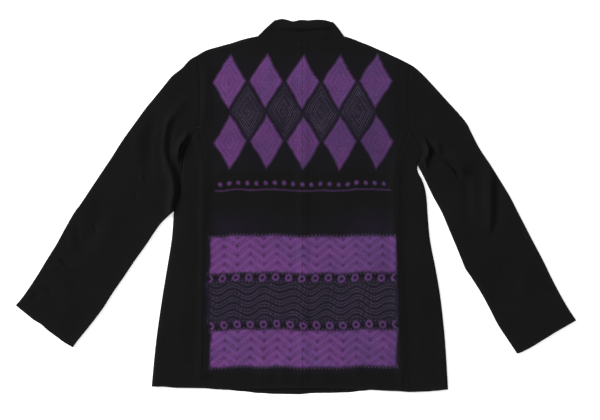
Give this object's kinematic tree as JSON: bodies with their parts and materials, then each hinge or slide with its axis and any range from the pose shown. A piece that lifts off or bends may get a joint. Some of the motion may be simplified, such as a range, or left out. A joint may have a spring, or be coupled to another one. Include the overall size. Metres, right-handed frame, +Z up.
{
  "type": "suit jacket",
  "caption": "Dark cloth jacket laid flat with its back up: soft stand collar, back cut in panels with dyed bands, fronts meeting underneath, long sleeves spread to the sides.",
  "frame": {"origin": "centre of the garment's box, on the surface that it lies on", "axes": "+X towards the jacket's right side as it lies with its back up, +Y from the hem towards the collar, +Z up off the surface"},
  "size_m": [1.1374, 0.769, 0.0111],
  "materials": {
    "black_cloth": "matt",
    "dyed_cloth": "matt"
  },
  "bodies": {
    "root": {"back_left": "dyed_cloth", "back_right": "dyed_cloth", "side_back_left": "black_cloth", "side_back_right": "black_cloth", "front_left": "black_cloth", "front_right": "black_cloth", "sleeve_left": "black_cloth", "sleeve_right": "black_cloth", "collar": "black_cloth"}
  },
  "joints": []
}
